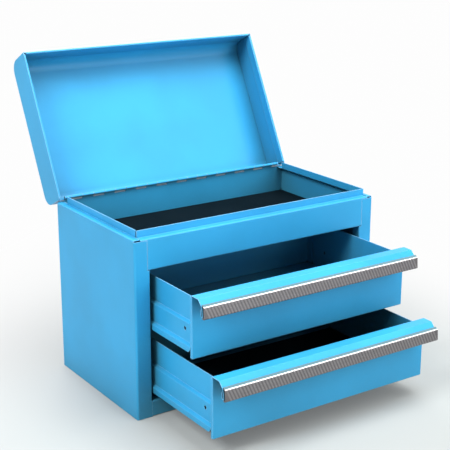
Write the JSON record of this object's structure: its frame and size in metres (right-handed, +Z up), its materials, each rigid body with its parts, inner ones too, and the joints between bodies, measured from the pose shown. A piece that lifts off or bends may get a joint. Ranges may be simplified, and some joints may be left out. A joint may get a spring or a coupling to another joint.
{
  "type": "portable tool chest",
  "caption": "Small folded-steel tool chest with an open tray under a piano-hinged lid and two sliding drawers with full-width lip pulls",
  "frame": {"origin": "centre of the cabinet's underside, where it stands", "axes": "+X to the right as seen from the drawers, +Y to the hinged back, +Z up"},
  "size_m": [0.28, 0.3666, 0.3185],
  "materials": {
    "blue_paint": "gloss powder coat",
    "black_mat": "matt",
    "bright_trim": "fine diagonal hatch",
    "plain_steel": "plain"
  },
  "bodies": {
    "cabinet": {"side_left": "blue_paint", "side_right": "blue_paint", "back_panel": "blue_paint", "base_pan": "blue_paint", "header_panel": "blue_paint", "tray_floor": "blue_paint", "tray_mat": "black_mat", "rail_upper_left": "blue_paint", "rail_upper_right": "blue_paint", "rail_lower_left": "blue_paint", "rail_lower_right": "blue_paint", "hinge_pin": "plain_steel"},
    "lid": {"lid_shell": "blue_paint", "lid_end_left": "blue_paint", "lid_end_right": "blue_paint"},
    "upper_drawer": {"upper_front": "blue_paint", "upper_tray": "blue_paint", "upper_back": "blue_paint", "upper_runner_left": "blue_paint", "upper_runner_right": "blue_paint", "upper_trim": "bright_trim"},
    "lower_drawer": {"lower_front": "blue_paint", "lower_tray": "blue_paint", "lower_back": "blue_paint", "lower_runner_left": "blue_paint", "lower_runner_right": "blue_paint", "lower_trim": "bright_trim", "lower_mat": "black_mat"}
  },
  "joints": [
    {"name": "lid_hinge", "type": "hinge", "parent": "cabinet", "child": "lid", "pos_m": [0, 0.0759, 0.1801], "axis": [1, 0, 0], "range_deg": [0, 117]},
    {"name": "upper_drawer_slide", "type": "slide", "parent": "cabinet", "child": "upper_drawer", "axis": [0, -1, 0], "range_m": [-0.0798, 0.0372]},
    {"name": "lower_drawer_slide", "type": "slide", "parent": "cabinet", "child": "lower_drawer", "axis": [0, -1, 0], "range_m": [-0.1123, 0.0047]}
  ]
}
